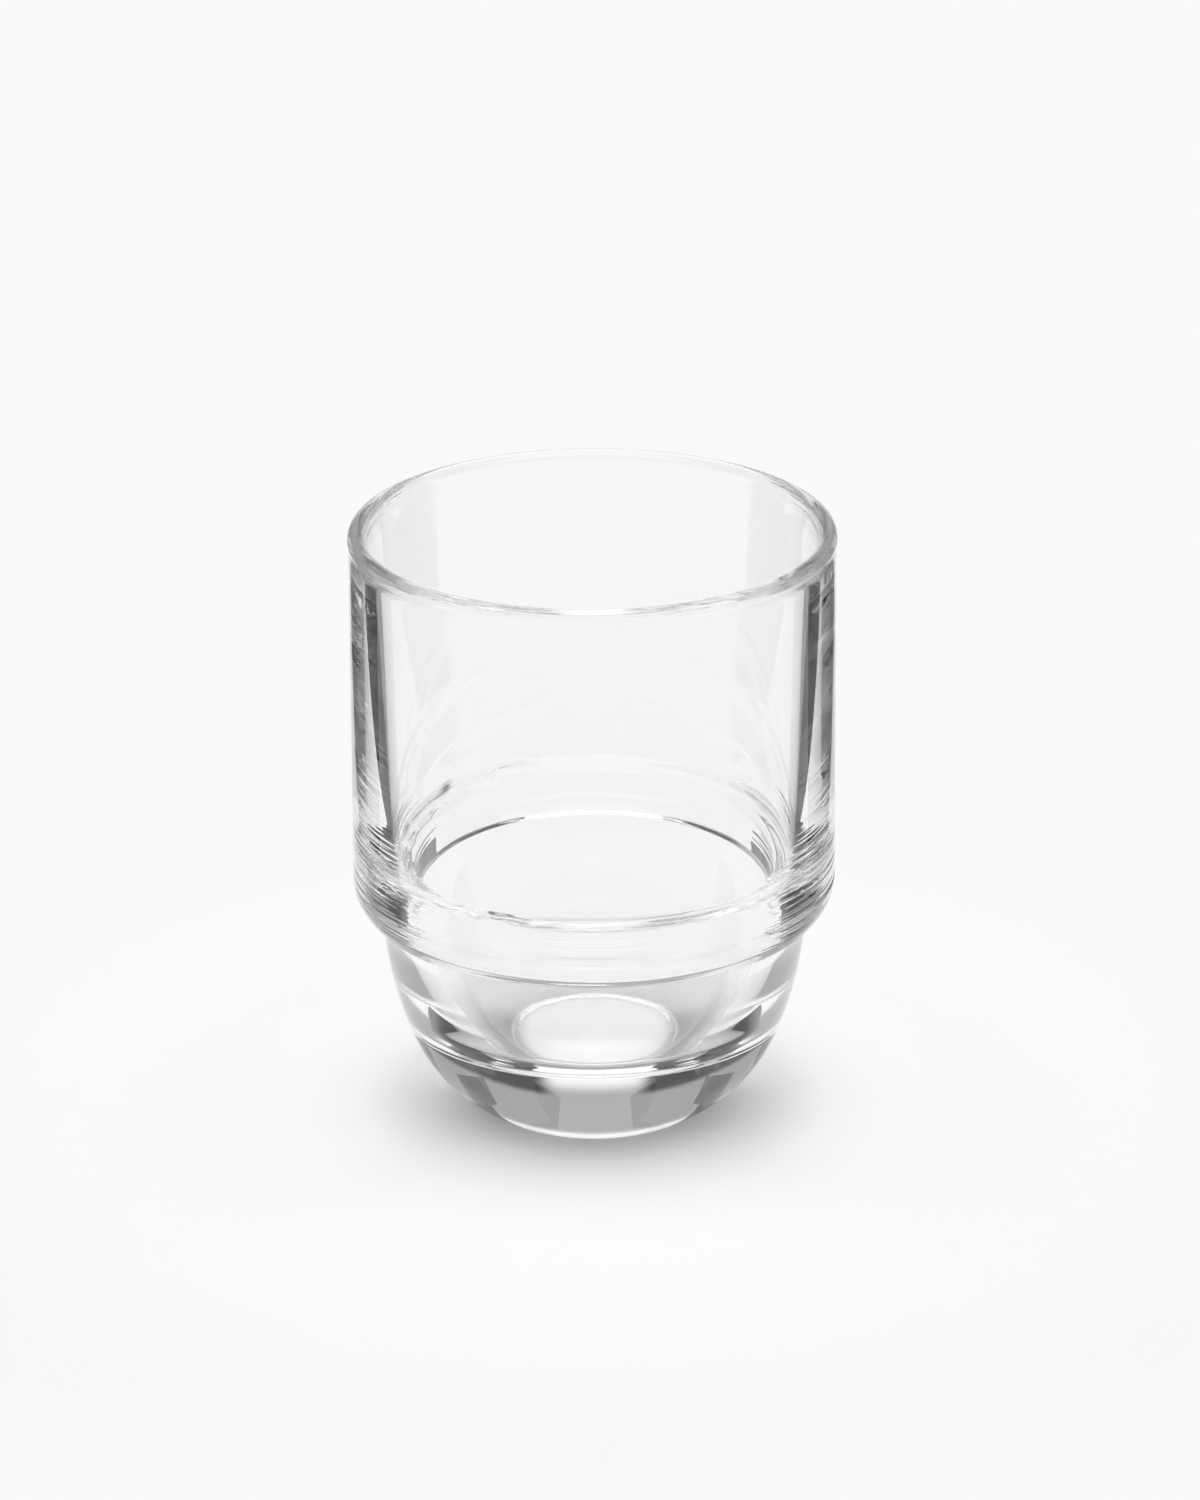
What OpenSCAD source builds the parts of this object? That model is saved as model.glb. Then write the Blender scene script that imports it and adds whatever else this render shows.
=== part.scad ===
/* [Rim] */
// Outside diameter over the lip
rim_d = 68; // [66:0.5:76]
// Height of the glass
height = 86.3; // [80:0.1:96]
// Thickness of the round lip
lip_t = 2.5; // [2:0.1:2.8]
// How far the lip stands proud of the outer wall
lip_proud = 0.15; // [0.05:0.05:0.4]
// How far the lip reaches down inside before it runs into the wall
lip_reach = 3.3; // [2.8:0.1:4.5]

/* [Straight wall] */
// Wall thickness just under the lip
wall_top_t = 2.75; // [2:0.05:3]
// Wall thickness just above the inner ledge
wall_low_t = 5.15; // [4:0.05:6]

/* [Shoulder] */
// Height of the shoulder's edge above the table
shoulder_z = 33; // [31.5:0.1:34]
// Radius that rounds the shoulder's edge
shoulder_r = 5.25; // [3:0.05:6]
// How far the shoulder draws in below its edge
shoulder_in = 1.86; // [1.2:0.02:2.4]
// Height of the flat stacking step under the shoulder
step_z = 30.4; // [29.5:0.1:30.8]
// Width of the flat stacking step
step_w = 2.12; // [1.6:0.02:2.6]

/* [Bowl] */
// Lean of the bowl's side just under the step, in degrees
bowl_lean = 1.6; // [0.5:0.1:3]
// Radius of the bowl's side in section
bowl_side_r = 52.3; // [48:0.1:60]
// Height where the side runs into the tighter curve of the base
bowl_knee_z = 12.6; // [10:0.1:15]

/* [Foot] */
// Outside diameter of the ring that the glass stands on
foot_d = 28.7; // [27.5:0.1:31]
// Width of that ring, out from the edge of the shallow hollow
foot_w = 0.75; // [0.6:0.05:3]
// Depth of the shallow hollow
hollow_h = 0.5; // [0.2:0.05:0.8]
// Radius that rounds the hollow's edge
hollow_r = 0.3; // [0.1:0.05:0.4]

/* [Inside] */
// Height of the inner ledge above the table, where the wall meets it
ledge_z = 38.9; // [38:0.1:42]
// Width of the inner ledge
ledge_w = 2.8; // [2.4:0.05:3.4]
// Drop of the inner ledge towards the middle
ledge_drop = 0.7; // [0.3:0.05:1]
// Radius of the fillet where the wall meets the ledge
ledge_fillet_r = 2; // [1:0.05:2.2]
// Radius that rounds the ledge's inner edge
ledge_edge_r = 0.8; // [0.4:0.05:1]
// Height where the inner side is upright and its curve starts
side_z = 35; // [33:0.1:36]
// Radius of the inner side in section
side_r = 40.3; // [38:0.1:44]
// Radius of the corner between the inner side and the dished floor
corner_r = 6.6; // [5:0.1:8]
// Thickness of glass in the middle of the floor
floor_t = 11.6; // [9:0.1:13]
// Radius of the dish of the floor in section
dish_r = 90; // [70:1:140]

/* [Hidden] */
// Segments round the glass
$fn = 96;
// Degrees that one step of a long curve may turn
curve_step = 2;
// Degrees that one step of a small fillet may turn
fillet_step = 9;
rim_r = rim_d / 2;
wall_r = rim_r - lip_proud;
lip_r = lip_t / 2;
lip_x = rim_r - lip_r;
lip_z = height - lip_r;
shoulder_low_r = wall_r - shoulder_in;
bowl_top_r = shoulder_low_r - step_w;
foot_r = foot_d / 2;
hollow_edge_r = foot_r - foot_w;
wall_in_top = [wall_r - wall_top_t, height - lip_reach];
wall_in_low = [wall_r - wall_low_t, ledge_z];
ledge_edge = [wall_in_low.x - ledge_w, ledge_z - ledge_drop];
side_top = [ledge_edge.x - 0.05, side_z];
side_c = side_top - [side_r, 0];
dish_c = [0, floor_t + dish_r];
floor_mid = [0, floor_t];

// Direction from one point towards another, one unit long
function towards(p, q) = (q - p) / norm(q - p);

// Direction at an angle in degrees, one unit long
function direction(a) = [cos(a), sin(a)];

// Angle of a direction, in degrees
function angle_of(v) = atan2(v.y, v.x);

// Steps needed to turn through an angle
function steps(turn, step) = max(2, ceil(abs(turn) / step));

// Points on an arc about centre c with radius r, from angle a0 round to a1
function arc(c, r, a0, a1, step) =
    let (n = steps(a1 - a0, step))
    [for (i = [0 : n]) c + r * direction(a0 + (a1 - a0) * i / n)];

// Corner q between p and s, rounded to radius r
function rounded(p, q, s, r) =
    let (
        u = towards(q, p),
        v = towards(q, s),
        half = acos(u * v) / 2,
        c = q + (u + v) / norm(u + v) * r / sin(half),
        a0 = angle_of(q + u * r / tan(half) - c),
        turn = angle_of(q + v * r / tan(half) - c) - a0,
        short = turn > 180 ? turn - 360 : turn < -180 ? turn + 360 : turn
    )
    arc(c, r, a0, a0 + short, fillet_step);

// Centre of the arc that leaves p with the normal n and passes through q
function arc_centre(p, n, q) =
    let (d = q - p)
    p + n * (d * d) / (2 * (n * d));

// Points on the arc from p to q about centre c, travelling the short way
function arc_to(p, q, c) =
    let (
        a0 = angle_of(p - c),
        turn = angle_of(q - c) - a0,
        short = turn > 180 ? turn - 360 : turn < -180 ? turn + 360 : turn
    )
    arc(c, norm(p - c), a0, a0 + short, curve_step);

// Where two circles meet, on the side away from the axis
function circle_meet(c1, r1, c2, r2) =
    let (
        d = norm(c2 - c1),
        along = (r1 * r1 - r2 * r2 + d * d) / (2 * d),
        across = sqrt(r1 * r1 - along * along),
        u = (c2 - c1) / d
    )
    c1 + u * along + [u.y, -u.x] * across;

// All points of a list but the first
function tail(list) = [for (i = [1 : len(list) - 1]) list[i]];

// Outer bowl: a long curve down the side, then a tighter one into the foot
function outer_bowl() =
    let (
        top = [bowl_top_r, step_z],
        centre = top - direction(-bowl_lean) * bowl_side_r,
        knee_a = -asin((centre.y - bowl_knee_z) / bowl_side_r),
        knee = centre + bowl_side_r * direction(knee_a),
        foot = [foot_r, 0],
        base_c = arc_centre(knee, -direction(knee_a), foot),
        side = arc_to(top, knee, centre),
        base = arc_to(knee, foot, base_c)
    )
    concat(side, tail(base));

// Inner bowl: a long side, a tighter corner and a dished floor that run into each other
function inner_bowl() =
    let (
        corner_c = circle_meet(side_c, side_r - corner_r, dish_c, dish_r - corner_r),
        side_end = side_c + towards(side_c, corner_c) * side_r,
        floor_edge = dish_c + towards(dish_c, corner_c) * dish_r
    )
    concat(
        arc_to(side_top, side_end, side_c),
        tail(arc_to(side_end, floor_edge, corner_c)),
        tail(arc_to(floor_edge, floor_mid, dish_c))
    );

// Underside from the middle out to the ring that the glass stands on
function underside() =
    let (
        top = [hollow_edge_r - hollow_h, hollow_h],
        low = [hollow_edge_r, 0]
    )
    concat(
        [[0, hollow_h]],
        rounded([0, hollow_h], top, low, hollow_r),
        [low]
    );

// Outside from the foot up to the lip, with the step and the shoulder
function outside() =
    let (
        bowl = outer_bowl(),
        low = [shoulder_low_r, step_z],
        edge = [wall_r, shoulder_z],
        up = [wall_r, height - lip_reach]
    )
    concat(
        [for (i = [len(bowl) - 1 : -1 : 0]) bowl[i]],
        [low],
        rounded(low, edge, up, shoulder_r)
    );

// Round lip, from the outer wall over the top to the inner wall
function lip() =
    let (out = acos((wall_r - lip_x) / lip_r))
    arc([lip_x, lip_z], lip_r, -out, 180, fillet_step);

// Inside from the lip down the wall, over the ledge and round the bowl to the floor
function inside() =
    concat(
        [wall_in_top],
        rounded(wall_in_top, wall_in_low, ledge_edge, ledge_fillet_r),
        rounded(wall_in_low, ledge_edge, side_top, ledge_edge_r),
        inner_bowl()
    );

// Half section of the glass, from the axis outwards
module half_section() {
    polygon(concat(underside(), outside(), lip(), inside()));
}

// The glass: one pressed piece, turned about its axis
module tumbler() {
    color([0.93, 0.95, 0.95, 0.35])
        rotate_extrude()
            half_section();
}

tumbler();
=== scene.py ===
# %% [markdown]
# # A cortado glass in clear pressed glass
# The object is one piece: a small tumbler pressed in a mould and fire-polished. It has a round lip, a
# straight upper wall, a shoulder with a stacking step under it, and a narrower bowl with a thick base.
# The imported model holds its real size. This lesson builds the surface that light needs, which is far
# smoother than a solid for collision, and then the studio in which clear glass shows its shape.

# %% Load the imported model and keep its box
import math

import bpy
from mathutils import Matrix, Vector


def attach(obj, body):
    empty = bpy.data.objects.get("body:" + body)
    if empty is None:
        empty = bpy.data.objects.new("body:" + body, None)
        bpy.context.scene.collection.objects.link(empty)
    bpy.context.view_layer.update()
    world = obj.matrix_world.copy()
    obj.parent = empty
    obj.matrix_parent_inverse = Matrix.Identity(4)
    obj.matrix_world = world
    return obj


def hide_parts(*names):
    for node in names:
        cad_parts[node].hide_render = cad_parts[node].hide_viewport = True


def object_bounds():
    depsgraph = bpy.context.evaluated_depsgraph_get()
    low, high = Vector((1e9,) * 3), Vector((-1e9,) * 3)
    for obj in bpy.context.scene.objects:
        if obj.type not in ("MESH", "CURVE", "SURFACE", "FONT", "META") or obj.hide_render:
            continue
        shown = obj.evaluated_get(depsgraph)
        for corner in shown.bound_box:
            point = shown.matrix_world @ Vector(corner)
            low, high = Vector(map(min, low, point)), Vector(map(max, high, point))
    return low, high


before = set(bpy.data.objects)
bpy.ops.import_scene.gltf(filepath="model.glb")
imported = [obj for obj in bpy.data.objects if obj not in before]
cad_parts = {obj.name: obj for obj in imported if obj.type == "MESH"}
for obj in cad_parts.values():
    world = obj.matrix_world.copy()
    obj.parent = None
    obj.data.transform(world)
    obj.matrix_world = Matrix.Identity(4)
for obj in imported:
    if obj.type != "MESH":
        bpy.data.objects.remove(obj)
cad_box = [list(corner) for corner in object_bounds()]
MM = 0.001
height = cad_box[1][2] / MM
rim_r = cad_box[1][0] / MM
print("height and rim radius of the packed model, mm:", round(height, 2), round(rim_r, 2))

# %% [markdown]
# ## Which way the photograph looks
# The glass is round, so any side could be the front. The camera, the cards, the backlight and the few
# marks that lie on one side of the glass all have to agree on one front. One turn about the axis holds
# that choice, and every later step asks it which way is behind and which way is aside.

# %% The front of the scene
FRONT_TURN = 225
TURN = Matrix.Rotation(math.radians(FRONT_TURN), 4, "Z")
BEHIND = TURN @ Vector((0, 1, 0))
ASIDE = TURN @ Vector((1, 0, 0))
print("the camera looks along", [round(part, 3) for part in BEHIND])

# %% [markdown]
# ## The section of the glass
# A pressed glass is a body of revolution, so one half section says everything about its shape. Clear
# glass is a lens: what the eye sees through the thick base depends on the slope of both walls, and a
# corner drawn as a few straight steps would show as rings. So the section is made of true arcs that run
# into each other without a kink, and it is cut finely. All sizes in this part are in millimetres.

# %% Arcs and rounded corners
LONG_STEP = math.radians(1.5)
SHORT_STEP = math.radians(6)


def unit(angle):
    """Direction at an angle, one unit long."""
    return Vector((math.cos(angle), math.sin(angle)))


def angle_of(v):
    """Angle of a direction."""
    return math.atan2(v.y, v.x)


def arc_between(centre, a, b, step=SHORT_STEP):
    """Points on the arc about a centre from point a to point b, the short way round."""
    start = angle_of(a - centre)
    turn = (angle_of(b - centre) - start + math.pi) % (2 * math.pi) - math.pi
    count = max(3, math.ceil(abs(turn) / step))
    radius = (a - centre).length
    return [centre + unit(start + turn * i / count) * radius for i in range(count + 1)]


def rounded(before, corner, after, radius):
    """A corner between two runs, rounded to a radius."""
    u = (before - corner).normalized()
    v = (after - corner).normalized()
    half = u.angle(v) / 2
    centre = corner + (u + v).normalized() * radius / math.sin(half)
    reach = radius / math.tan(half)
    return arc_between(centre, corner + u * reach, corner + v * reach)


right_angle = rounded(Vector((0, 1)), Vector((0, 0)), Vector((1, 0)), 0.3)
print("points on a rounded right angle:", len(right_angle))

# %% Arcs that run into each other, and even runs


def arc_centre(p, normal, q):
    """Centre of the arc that leaves p square to a normal and passes through q."""
    d = q - p
    return p + normal * d.length_squared / (2 * normal.dot(d))


def circle_meet(c1, r1, c2, r2):
    """Where two circles meet: of the two points, the one farther out and lower."""
    d = (c2 - c1).length
    along = (r1 * r1 - r2 * r2 + d * d) / (2 * d)
    across = math.sqrt(r1 * r1 - along * along)
    u = (c2 - c1) / d
    w = Vector((-u.y, u.x))
    meets = [c1 + u * along + w * across * side for side in (-1, 1)]
    return max(meets, key=lambda p: p.x - p.y)


def resample(points, step):
    """The same outline with no run longer than a step."""
    out = [points[0]]
    for a, b in zip(points, points[1:]):
        count = max(1, math.ceil((b - a).length / step))
        out += [a.lerp(b, i / count) for i in range(1, count + 1)]
    return out


print("points on a 10 mm run cut every 0.8 mm:", len(resample([Vector((0, 0)), Vector((10, 0))], 0.8)))

# %% [markdown]
# The outside runs from the middle of the underside out to the foot, up the round bowl, under the flat
# stacking step, over the shoulder and up the straight wall. A mould leaves no sharp edge, so each corner
# has its own small radius. The bowl is two arcs: a long one down the side and a tighter one into the
# foot, which meet with the same slope, because a kink there would show as a ring of light.

# %% The outside of the glass
lip_proud = 0.15
wall_r = rim_r - lip_proud
lip_reach = 3.3
shoulder_corner = Vector((wall_r, 33.0))
shoulder_round = 5.25
step_z = 30.4
step_outer = Vector((31.99, step_z))
step_inner = Vector((29.87, step_z))
step_outer_round = 0.3
step_inner_round = 0.25
bowl_lean = math.radians(1.6)
bowl_side_r = 52.3
bowl_knee_z = 12.6
foot = Vector((14.33, 0.0))
foot_round = 0.12
hollow_r = 13.6
hollow_h = 0.35
hollow_slope = 1.2
hollow_round = 0.5


def bowl_outside():
    """Bowl from the step down to the foot: a long arc, then a tighter one that meets it without a kink."""
    side_centre = step_inner - unit(-bowl_lean) * bowl_side_r
    knee_angle = -math.asin((side_centre.y - bowl_knee_z) / bowl_side_r)
    knee = side_centre + unit(knee_angle) * bowl_side_r
    base_centre = arc_centre(knee, -unit(knee_angle), foot)
    side = arc_between(side_centre, step_inner, knee, LONG_STEP)
    return side + arc_between(base_centre, knee, foot, LONG_STEP)[1:]


def outside():
    """From the axis under the base out to the foot and up to the lip."""
    bowl = bowl_outside()
    hollow_middle = Vector((0.0, hollow_h))
    hollow_top = Vector((hollow_r - hollow_slope, hollow_h))
    hollow_low = Vector((hollow_r, 0.0))
    wall_top = Vector((wall_r, height - lip_reach))
    under = [hollow_middle] + rounded(hollow_middle, hollow_top, hollow_low, hollow_round) + [hollow_low]
    up = rounded(hollow_low, bowl[-1], bowl[-2], foot_round)
    up += bowl[-2:0:-1]
    up += rounded(bowl[1], step_inner, step_outer, step_inner_round)
    up += rounded(step_inner, step_outer, shoulder_corner, step_outer_round)
    up += rounded(step_outer, shoulder_corner, wall_top, shoulder_round)
    return under + up + [wall_top]


print("points on the outside:", len(outside()))

# %% [markdown]
# The lip is where the glass is fire-polished: heat draws the rim into a round bead that stands a little
# proud of the wall. It is an arc of a little more than half a circle.

# %% The lip
lip_half = 1.25
lip_steps = 32


def lip():
    """Round lip, proud of the wall by a little on the outside."""
    centre = Vector((rim_r - lip_half, height - lip_half))
    start = -math.acos((wall_r - centre.x) / lip_half)
    turn = math.pi - start
    return [centre + unit(start + turn * i / lip_steps) * lip_half for i in range(lip_steps + 1)]


print("points on the lip:", len(lip()))

# %% [markdown]
# The inside runs from the lip down a slightly drafted wall to a narrow ledge, and then down a second bowl
# of three arcs: a long side, a tight corner and a dished floor. The draft lets the plunger leave the
# mould. The wall's thickness sets how wide the dark stripe beside each edge is, and the dish with its
# tight corner bends the view of the foot into the bright patch seen in the base.

# %% The inside of the glass
wall_in_top = Vector((31.1, height - lip_reach))
wall_in_low = Vector((28.7, 38.9))
ledge_edge = Vector((25.9, 38.2))
ledge_fillet = 2.2
ledge_edge_round = 1.1
side_top = Vector((25.85, 35.0))
side_r = 40.3
corner_r = 6.6
floor_z = 11.6
dish_r = 90.0


def inside():
    """From the wall under the lip down to the middle of the floor."""
    side_centre = side_top - Vector((side_r, 0))
    dish_centre = Vector((0, floor_z + dish_r))
    corner_centre = circle_meet(side_centre, side_r - corner_r, dish_centre, dish_r - corner_r)
    side_end = side_centre + (corner_centre - side_centre).normalized() * side_r
    floor_start = dish_centre + (corner_centre - dish_centre).normalized() * dish_r
    down = [wall_in_top]
    down += rounded(wall_in_top, wall_in_low, ledge_edge, ledge_fillet)
    down += rounded(wall_in_low, ledge_edge, side_top, ledge_edge_round)
    down += arc_between(side_centre, side_top, side_end, LONG_STEP)
    down += arc_between(corner_centre, side_end, floor_start)[1:]
    down += arc_between(dish_centre, floor_start, Vector((0, floor_z)))[1:]
    return down


print("points on the inside:", len(inside()))

# %% The section as an edge chain
LONGEST_RUN = 0.8
section = resample(outside() + lip() + inside(), LONGEST_RUN)
section[0].x = section[-1].x = 0.0
chain = [(i, i + 1) for i in range(len(section) - 1)]
section_mesh = bpy.data.meshes.new("glass_section")
section_mesh.from_pydata([(p.x * MM, 0, p.y * MM) for p in section], chain, [])
tumbler = bpy.data.objects.new("pressed_glass", section_mesh)
bpy.context.scene.collection.objects.link(tumbler)
print("points in the whole section:", len(section))

# %% [markdown]
# ## Arithmetic on sockets
# Both the surface and the materials below are node trees. Long chains of Math nodes are hard to read when
# they are linked by hand, so one small class wraps a socket and adds the Math node whenever the socket is
# added, multiplied or divided. A second class adds any other node, with its settings and the values or
# links of its sockets.

# %% A number in a node tree


class Number:
    """A socket of a node tree that takes part in plain arithmetic."""

    def __init__(self, tree, socket):
        self.tree = tree
        self.socket = socket

    def math(self, operation, first, second=0.0):
        """One Math node."""
        return self.tree.number("ShaderNodeMath", {"operation": operation}, i0=first, i1=second)

    def __add__(self, other):
        return self.math("ADD", self, other)

    def __radd__(self, other):
        return self.math("ADD", other, self)

    def __sub__(self, other):
        return self.math("SUBTRACT", self, other)

    def __rsub__(self, other):
        return self.math("SUBTRACT", other, self)

    def __mul__(self, other):
        return self.math("MULTIPLY", self, other)

    def __rmul__(self, other):
        return self.math("MULTIPLY", other, self)

    def __truediv__(self, other):
        return self.math("DIVIDE", self, other)

    def __rtruediv__(self, other):
        return self.math("DIVIDE", other, self)

    def __mod__(self, other):
        return self.math("MODULO", self, other)

    def __rmod__(self, other):
        return self.math("MODULO", other, self)

    def floor(self):
        """The whole number just below."""
        return self.math("FLOOR", self)

    def ramp(self, low, high, start=0.0, end=1.0):
        """Smooth step from start to end while this number runs from low to high."""
        ends = {"From Min": low, "From Max": high, "To Min": start, "To Max": end}
        smooth = {"interpolation_type": "SMOOTHSTEP"}
        return self.tree.number("ShaderNodeMapRange", smooth, Value=self, **ends)


print("a number takes + - * / and %, and adds one Math node for each")

# %% A tree that takes nodes


class Tree:
    """Adds nodes to a tree: settings first, then the values or links of the sockets."""

    def __init__(self, tree):
        self.tree = tree

    def add(self, kind, settings=None, **sockets):
        """One node. A socket is given by its name, or as i0, i1 and so on by its place."""
        node = self.tree.nodes.new(kind)
        for name, value in (settings or {}).items():
            setattr(node, name, value)
        for name, value in sockets.items():
            by_place = name[0] == "i" and name[1:].isdigit()
            socket = node.inputs[int(name[1:])] if by_place else node.inputs[name]
            value = getattr(value, "socket", value)
            if isinstance(value, bpy.types.NodeSocket):
                self.tree.links.new(value, socket)
            else:
                socket.default_value = value
        return node

    def number(self, kind, settings=None, output=0, **sockets):
        """One node, and the number that it gives."""
        return Number(self, self.add(kind, settings, **sockets).outputs[output])

    def vector(self, operation, first, second):
        """A vector from two vectors."""
        return self.add("ShaderNodeVectorMath", {"operation": operation}, i0=first, i1=second).outputs[0]

    def reach(self, vector, way):
        """How far a vector reaches one way."""
        return self.number("ShaderNodeVectorMath", {"operation": "DOT_PRODUCT"}, output="Value",
                           i0=vector, i1=way)

    def length(self, vector):
        """Length of a vector."""
        return self.number("ShaderNodeVectorMath", {"operation": "LENGTH"}, output="Value", i0=vector)

    def gray(self, level):
        """A gray of a level."""
        return self.add("ShaderNodeCombineColor", Red=level, Green=level, Blue=level).outputs[0]


print("a tree gives numbers, vectors and grays")

# %% [markdown]
# ## Turning the section into a surface
# A Spin or a Screw modifier would turn the section too, but a Geometry Nodes tree keeps the count of
# segments as a named input and closes the seam in the same place. The tree makes a flat grid, reads each
# point's place on the section by its row, and wraps the columns round the axis. Merging by distance
# closes the seam and the two poles.

# %% The tree's named inputs
revolve = bpy.data.node_groups.new("turn_section", "GeometryNodeTree")


def tree_input(name, kind):
    """A named input of the tree."""
    return revolve.interface.new_socket(name, in_out="INPUT", socket_type=kind)


tree_input("Section", "NodeSocketGeometry")
segments_socket = tree_input("Segments", "NodeSocketInt")
rows_socket = tree_input("Section points", "NodeSocketInt")
material_socket = tree_input("Material", "NodeSocketMaterial")
wave_socket = tree_input("Ledge wave", "NodeSocketFloat")
revolve.interface.new_socket("Surface", in_out="OUTPUT", socket_type="NodeSocketGeometry")
print("inputs of the tree:", [item.name for item in revolve.interface.items_tree if item.in_out == "INPUT"])

# %% Wrap the section round the axis
g = Tree(revolve)
given = g.add("NodeGroupInput").outputs
columns = Number(g, given["Segments"]) + 1
grid = g.add("GeometryNodeMeshGrid", i2=given["Section points"], i3=columns).outputs["Mesh"]
index = g.number("GeometryNodeInputIndex")
row = (index / columns).floor()
angle = (index % columns) / Number(g, given["Segments"]) * (-2 * math.pi)
section_place = g.add("GeometryNodeInputPosition").outputs[0]
on_section = g.add("GeometryNodeSampleIndex", {"data_type": "FLOAT_VECTOR", "domain": "POINT"},
                   Geometry=given["Section"], Value=section_place, Index=row).outputs[0]
turned = g.add("ShaderNodeVectorRotate", {"rotation_type": "Z_AXIS"},
               Vector=on_section, Angle=angle).outputs[0]
print("nodes that wrap the section:", len(revolve.nodes))

# %% [markdown]
# A pressed ledge is never quite even: where the plunger left the warm glass, its edge waves by up to a
# millimetre. The photograph shows that on one side. A bump map would leave the outline of the ledge even,
# so the points themselves are lifted by a slow noise. Masks keep the lift to the ledge and to that side.

# %% The slight wave of the ledge
LEDGE_BEGINS = (37.0, 38.0)
LEDGE_ENDS = (38.9, 41.5)
WALL_BEGINS = (28.7, 29.3)
WAVY_SIDE = (-0.1, 0.5)
WAVE_SCALE = 140.0
section_sides = g.add("ShaderNodeSeparateXYZ", Vector=on_section).outputs
out_from_axis = Number(g, section_sides["X"]) * 1000
up_section = Number(g, section_sides["Z"]) * 1000
at_ledge_height = up_section.ramp(*LEDGE_BEGINS) * up_section.ramp(*LEDGE_ENDS, 1, 0)
on_ledge = at_ledge_height * out_from_axis.ramp(*WALL_BEGINS, 1, 0)
on_wavy_side = (g.reach(turned, -ASIDE) * 1000 / out_from_axis).ramp(*WAVY_SIDE)
wave = g.number("ShaderNodeTexNoise", output="Fac", Vector=turned, Scale=WAVE_SCALE, Detail=1.0) - 0.5
lift_by = wave * on_ledge * on_wavy_side * Number(g, given["Ledge wave"])
lift_vector = g.add("ShaderNodeCombineXYZ", Z=lift_by).outputs[0]
print("the wave lies between", LEDGE_BEGINS[0], "and", LEDGE_ENDS[1], "mm above the table")

# %% Close the surface, smooth it and paint it
MERGE_WITHIN = 0.000001
wrapped = g.add("GeometryNodeSetPosition", Geometry=grid, Position=turned, Offset=lift_vector).outputs[0]
closed = g.add("GeometryNodeMergeByDistance", Geometry=wrapped, Distance=MERGE_WITHIN).outputs[0]
shaded = g.add("GeometryNodeSetShadeSmooth", Geometry=closed).outputs[0]
real = g.add("GeometryNodeRealizeInstances", Geometry=shaded).outputs[0]
painted = g.add("GeometryNodeSetMaterial", Geometry=real, Material=given["Material"]).outputs[0]
g.add("NodeGroupOutput", i0=painted)
print("the tree has", len(revolve.nodes), "nodes")

# %% [markdown]
# ## Clear glass
# The whole glass is one material: clear soda-lime glass, fire-polished, so it has no roughness to speak
# of. Its refraction does all the work, and its index is near 1.52. Glass this thick takes a little of the
# light that crosses it, so its colour is a very light gray instead of white. A Glass shader would do as
# well, but the Principled shader is what the export reads.

# %% The glass material
GLASS_LOOK = {
    "Base Color": (0.972, 0.975, 0.975, 1),
    "Roughness": 0.0,
    "IOR": 1.52,
    "Transmission Weight": 1.0,
}
glass = bpy.data.materials.new("clear_soda_lime_glass")
glass.use_nodes = True
shader = glass.node_tree.nodes["Principled BSDF"]
for name, value in GLASS_LOOK.items():
    shader.inputs[name].default_value = value
print("glass index:", round(shader.inputs["IOR"].default_value, 3))

# %% [markdown]
# ## Chill marks
# Where hot glass first touches the cold mould, at the shoulder, and where the lip is reheated, its skin
# sets in fine rings a few tenths of a millimetre deep. They break the view through the wall into streaks,
# and they are too fine to show in the outline. So the relief is a bump: a noise drawn out round the
# glass, and stronger toward the two sides, where the photograph shows most of it.

# %% Where the marks lie
m = Tree(glass.node_tree)
glass_place = m.add("ShaderNodeTexCoord").outputs["Object"]
place_mm = m.add("ShaderNodeVectorMath", {"operation": "SCALE"},
                 Vector=glass_place, Scale=1000.0).outputs[0]
height_mm = m.number("ShaderNodeSeparateXYZ", output="Z", Vector=place_mm)
from_axis = m.length(m.vector("MULTIPLY", place_mm, (1, 1, 0)))
sideways = m.reach(place_mm, ASIDE)
near_sides = (sideways * sideways / (from_axis * from_axis)).ramp(0.35, 0.95, 0.12, 1)
shoulder_band = height_mm.ramp(29, 33) * height_mm.ramp(38, 46, 1, 0) * from_axis.ramp(30.2, 31.2)
lip_band = height_mm.ramp(83, 85)
print("nodes that say where the marks lie:", len(glass.node_tree.nodes))

# %% The relief of the marks
SHOULDER_DEPTH = 0.8
LIP_DEPTH = 0.2
WALL_DEPTH = 0.002
INWARD_FALL = 0.4


def streaks(round_size, up_size, twist, detail, seed):
    """Noise drawn out round the glass, its lines climbing by a twist in degrees for each mm of height."""
    twisted = m.add("ShaderNodeVectorRotate", {"rotation_type": "Z_AXIS"}, Vector=place_mm,
                    Angle=height_mm * math.radians(twist)).outputs[0]
    level = (height_mm - from_axis * INWARD_FALL) / up_size + seed
    sized = m.vector("MULTIPLY", twisted, (1 / round_size, 1 / round_size, 0))
    risen = m.add("ShaderNodeCombineXYZ", X=seed, Y=seed, Z=level).outputs[0]
    moved = m.vector("ADD", sized, risen)
    return m.number("ShaderNodeTexNoise", output="Fac",
                    Vector=moved, Scale=1.0, Detail=detail, Roughness=0.6)


relief = streaks(60, 1.4, 0.8, 2, 3.0) * shoulder_band * near_sides * SHOULDER_DEPTH
relief += streaks(30, 0.5, 0.0, 2, 11.0) * lip_band * near_sides * LIP_DEPTH
relief += streaks(9, 12.0, 0.0, 1, 23.0) * WALL_DEPTH
bump = m.add("ShaderNodeBump", Strength=1.0, Distance=MM, Height=relief)
m.tree.links.new(bump.outputs["Normal"], shader.inputs["Normal"])
print("nodes in the glass:", len(glass.node_tree.nodes))

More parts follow.
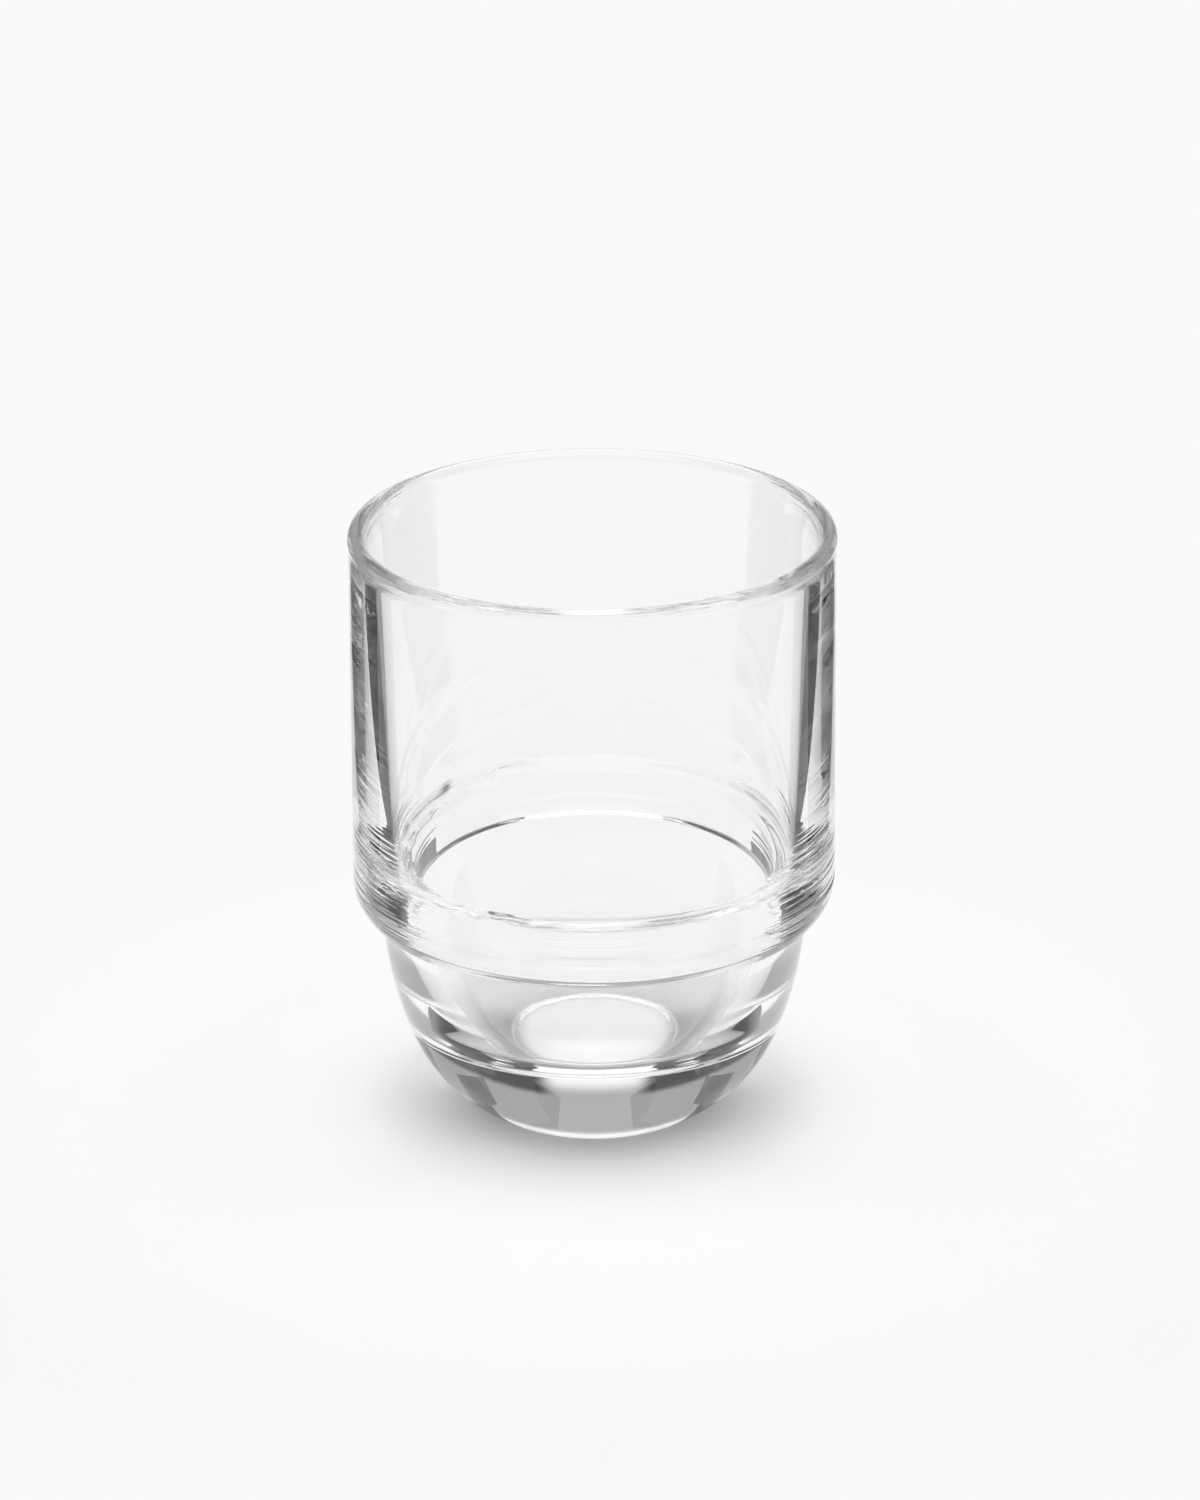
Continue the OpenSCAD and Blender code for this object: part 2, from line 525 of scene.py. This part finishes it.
# %% [markdown]
# ## Running the tree
# The modifier gets the count of segments, the glass and the wave by the identifiers of their sockets,
# since two inputs may share a name. With 240 segments, the outline stays round close up. The result is
# copied to a plain mesh and the modifier is removed, because the frame takes finished meshes. A mesh
# that is inside out would bend light the wrong way, so the faces of the outer wall are tested afterwards.

# %% Turn the section and keep the plain surface
SEGMENTS = 240
LEDGE_WAVE = 0.0035
modifier = tumbler.modifiers.new("turn the section", "NODES")
modifier.node_group = revolve
modifier[segments_socket.identifier] = SEGMENTS
modifier[rows_socket.identifier] = len(section)
modifier[material_socket.identifier] = glass
modifier[wave_socket.identifier] = LEDGE_WAVE
evaluated = tumbler.evaluated_get(bpy.context.evaluated_depsgraph_get())
surface = bpy.data.meshes.new_from_object(evaluated)
tumbler.modifiers.remove(modifier)
tumbler.data = surface
tumbler.data.materials.clear()
tumbler.data.materials.append(glass)
print("points:", len(surface.vertices), "faces:", len(surface.polygons))

# %% Check that the outer wall looks outwards
BAND_LOW = 0.056
BAND_HIGH = 0.064
OUTER_WALL = 0.033
wall_faces = [face for face in surface.polygons
              if BAND_LOW < face.center.z < BAND_HIGH and face.center.xy.length > OUTER_WALL]
outward = sum(face.normal.xy.dot(face.center.xy) > 0 for face in wall_faces)
print("outer wall faces:", len(wall_faces), "of which look outwards:", outward)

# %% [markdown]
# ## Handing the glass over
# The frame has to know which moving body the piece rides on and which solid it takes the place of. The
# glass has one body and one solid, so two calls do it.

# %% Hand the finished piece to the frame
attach(tumbler, "root")
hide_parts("tumbler")
print("handed over:", tumbler.name)

# %% [markdown]
# ## The studio
# Clear glass has no colour of its own. It shows the room: the pale table below, a soft light overhead, a
# gray room beyond the bright horizon, and dark cards on both sides that give the thick walls their black
# edges. Each of these is a matt or a glowing sheet, or the world itself, because a lamp would leave a
# small hard highlight.

# %% Helpers for the studio


def flat_material(name, colour, emission=None):
    """A plain matt paint, or a plain glow when an emission strength is given."""
    material = bpy.data.materials.new(name)
    material.use_nodes = True
    paint = material.node_tree.nodes["Principled BSDF"]
    paint.inputs["Base Color"].default_value = (*colour, 1)
    paint.inputs["Roughness"].default_value = 0.9
    paint.inputs["Specular IOR Level"].default_value = 0.0
    if emission is not None:
        paint.inputs["Base Color"].default_value = (0, 0, 0, 1)
        paint.inputs["Emission Color"].default_value = (*colour, 1)
        paint.inputs["Emission Strength"].default_value = emission
    return material


def sheet(name, corners, material):
    """A four-cornered flat sheet, its corners given as the camera sees them."""
    mesh = bpy.data.meshes.new(name)
    mesh.from_pydata([TURN @ Vector(corner) for corner in corners], [], [(0, 1, 2, 3)])
    mesh.materials.append(material)
    thing = bpy.data.objects.new(name, mesh)
    bpy.context.scene.collection.objects.link(thing)
    return thing


print("the studio's sheets are turned by", FRONT_TURN, "degrees")

# %% [markdown]
# ## The table
# A thick glass base gathers light and drops it on the table as a bright pool, with a short bright fan on
# the far side that shows through the bowl. A renderer finds such light only after a great many samples,
# so a soft glow on the table stands in for it. The glow depends on the distance from the axis and on how
# far behind the glass a point lies. It also thins the shadow to the narrow, faintly violet one of a large
# soft light.

# %% The light that the glass throws on the table
TABLE_WHITE = (0.938, 0.944, 0.932)
POOL = 0.62
FILL = 0.125
FRONT_FILL = 0.07
SIDE_FILL = 0.075
FAN = 0.34
VIOLET = (0.006, 0.012)
paper = flat_material("white_table", TABLE_WHITE)
t = Tree(paper.node_tree)
table_place = t.add("ShaderNodeTexCoord").outputs["Object"]
out_mm = t.length(table_place) * 1000
to_back = t.reach(table_place, BEHIND) * 1000 / out_mm
pool = out_mm.ramp(11, 14.5, POOL, 0)
fill = out_mm.ramp(14, 34, 0, FILL) * out_mm.ramp(40, 120, 1, 0)
fill += to_back.ramp(-0.95, -0.35, FRONT_FILL, 0) * out_mm.ramp(34, 70, 1, 0)
fill += to_back.ramp(-0.8, -0.35) * out_mm.ramp(22, 34, 0, SIDE_FILL) * out_mm.ramp(36, 60, 1, 0)
fan = to_back.ramp(0.05, 0.55) * out_mm.ramp(11, 14.5) * out_mm.ramp(16, 30, FAN, 0)
thrown = pool + fill + fan
glow = t.add("ShaderNodeCombineColor",
             Red=thrown + VIOLET[0], Green=thrown, Blue=thrown + VIOLET[1]).outputs[0]
table_shader = paper.node_tree.nodes["Principled BSDF"]
table_shader.inputs["Emission Strength"].default_value = 1.0
t.tree.links.new(glow, table_shader.inputs["Emission Color"])
print("nodes in the table's glow:", len(paper.node_tree.nodes))

# %% The table
TABLE_HALF = 10
table = sheet("table", [(-TABLE_HALF, -TABLE_HALF, 0), (TABLE_HALF, -TABLE_HALF, 0),
                        (TABLE_HALF, TABLE_HALF, 0), (-TABLE_HALF, TABLE_HALF, 0)], paper)
print("the table is", 2 * TABLE_HALF, "m wide")

# %% [markdown]
# ## The dark cards
# Light that turns back inside the wall leaves the glass sideways, so the stripes beside the wall's edges
# show what stands to the left and right. A photographer puts black cards there, just outside the frame.
# They are sheets that glow very faintly, so they stay as dark as chosen whatever the room does. They are
# hidden from the camera, from the table's soft light and from shadows. The near cards fade from gray to
# black, which draws the soft edge of each stripe.

# %% The cards' materials
CARD_EDGE = (22, 40)
CARD_GRAY = 0.22
CARD_BLACK = 0.005
near_black = flat_material("near_card", (0, 0, 0), emission=1.0)
n = Tree(near_black.node_tree)
card_place = n.add("ShaderNodeTexCoord").outputs["Object"]
card_shade = (n.reach(card_place, BEHIND) * 1000).ramp(*CARD_EDGE, CARD_GRAY, CARD_BLACK)
card_shader = near_black.node_tree.nodes["Principled BSDF"]
n.tree.links.new(n.gray(card_shade), card_shader.inputs["Emission Color"])
far_gray = flat_material("far_card", (0.12, 0.12, 0.12), emission=1.0)
high_black = flat_material("high_card", (0.01, 0.01, 0.01), emission=1.0)
print("nodes in the near cards' fade:", len(near_black.node_tree.nodes))

# %% The cards on both sides
# Each card has a front, back, low and top edge, in metres, and its paint
CARD_OUT = 0.088
CARDS = {
    "low_card": (0.022, 0.130, 0.000, 0.045, near_black),
    "middle_card": (0.022, 0.078, 0.045, 0.105, near_black),
    "high_card": (-0.030, 0.160, 0.105, 0.400, high_black),
    "far_card": (0.118, 0.180, 0.062, 0.105, far_gray),
    "far_low_card": (0.130, 0.180, 0.000, 0.045, far_gray),
}


def card(name, x, front, back, low, top, material):
    """An upright card that the glass sees and the camera does not."""
    made = sheet(name, [(x, front, low), (x, back, low), (x, back, top), (x, front, top)], material)
    made.visible_camera = False
    made.visible_diffuse = False
    made.visible_shadow = False
    return made


for side, side_name in ((-1, "left"), (1, "right")):
    for name, edges_and_paint in CARDS.items():
        card(name + "_" + side_name, side * CARD_OUT, *edges_and_paint)

# %% [markdown]
# ## The room
# The world lights the whole scene. It is bright at the horizon, which is what the clear upper wall shows,
# gray above that, and bright again overhead, where a large soft light hangs. Behind the glass, to the
# left and to the right, a low dark belt stands for the unlit part of the room. The shoulder and the lip
# pick it up as dark streaks.

# %% The room, the soft light and the dark belt
HORIZON = 0.95
ROOM = 0.36
DARK = 0.03
SOFTBOX = 1.02
world = bpy.data.worlds.new("studio")
bpy.context.scene.world = world
world.use_nodes = True
w = Tree(world.node_tree)
direction = w.add("ShaderNodeTexCoord").outputs["Generated"]
upward = w.number("ShaderNodeSeparateXYZ", output="Z", Vector=direction)
level = w.vector("MULTIPLY", direction, (1, 1, 0))
heading = w.add("ShaderNodeVectorMath", {"operation": "NORMALIZE"}, i0=level).outputs[0]
backward = w.reach(heading, BEHIND)
horizon_edge = upward + backward.ramp(0.5, 0.9, 0.12, 0)
belt_height = upward.ramp(0.08, 0.11) * upward.ramp(0.26, 0.31, 1, 0)
belt_width = backward.ramp(0.97, 0.99, 1, 0) * backward.ramp(0.2, 0.4)
belt = belt_height * belt_width
even = horizon_edge.ramp(0.16, 0.28, HORIZON, ROOM) + upward.ramp(0.55, 0.65, 0, SOFTBOX)
room_light = even - (even - DARK) * belt
w.tree.links.new(w.gray(room_light), world.node_tree.nodes["Background"].inputs["Color"])
print("light at the horizon, in the room and overhead:", HORIZON, ROOM, ROOM + SOFTBOX)

# %% [markdown]
# ## The camera
# A long lens from a little above, as in the photograph. The glass stands a little left of and below the
# middle of the frame, so the camera is turned by small angles after it has been aimed at the glass.

# %% The camera
PHOTO_WIDE = 1200
PHOTO_HIGH = 1500
AIM_ACROSS_PX = 593.40
AIM_DOWN_PX = 837.10
FOCAL_PX = 8756.9
SENSOR = 36
LEAN = math.radians(-0.311)
lift = math.radians(21.973)
away = 1.2301
aim = Vector((0, 0, 0.040))
stand = aim + Vector((0, -math.cos(lift), math.sin(lift))) * away
forward = (aim - stand).normalized()
right = Vector((1, 0, 0))
look = Matrix((right, right.cross(forward), -forward)).transposed()
look @= Matrix.Rotation(-math.atan((PHOTO_WIDE / 2 - AIM_ACROSS_PX) / FOCAL_PX), 3, "Y")
look @= Matrix.Rotation(math.atan((AIM_DOWN_PX - PHOTO_HIGH / 2) / FOCAL_PX), 3, "X")
look @= Matrix.Rotation(LEAN, 3, "Z")
lens = bpy.data.cameras.new("camera")
lens.sensor_width = SENSOR
lens.lens = FOCAL_PX / PHOTO_HIGH * SENSOR
lens.clip_start = 0.01
lens.clip_end = 100
camera = bpy.data.objects.new("camera", lens)
camera.matrix_world = TURN @ Matrix.Translation(stand) @ look.to_4x4()
bpy.context.scene.collection.objects.link(camera)
bpy.context.scene.camera = camera
print("lens, mm:", round(lens.lens, 1))

# %% [markdown]
# ## Picture settings
# Light inside thick glass turns back many times before it leaves. A low limit on bounces would paint
# those paths black, so the limit is raised well past what the base needs. The Standard view keeps white
# as white.

# %% Picture settings
BOUNCES = 64
scene = bpy.context.scene
scene.view_settings.view_transform = "Standard"
scene.cycles.max_bounces = BOUNCES
scene.cycles.glossy_bounces = BOUNCES
scene.cycles.transmission_bounces = BOUNCES
scene.cycles.transparent_max_bounces = BOUNCES
print("bounces:", BOUNCES)

# %% [markdown]
# ## The size of what was made
# The surface has to stay inside the imported model's box. The glass takes its height and its lip's radius
# from the imported model's box, which was read at the start.

# %% The box read at the start
print("the height and the lip's radius come from the imported box")
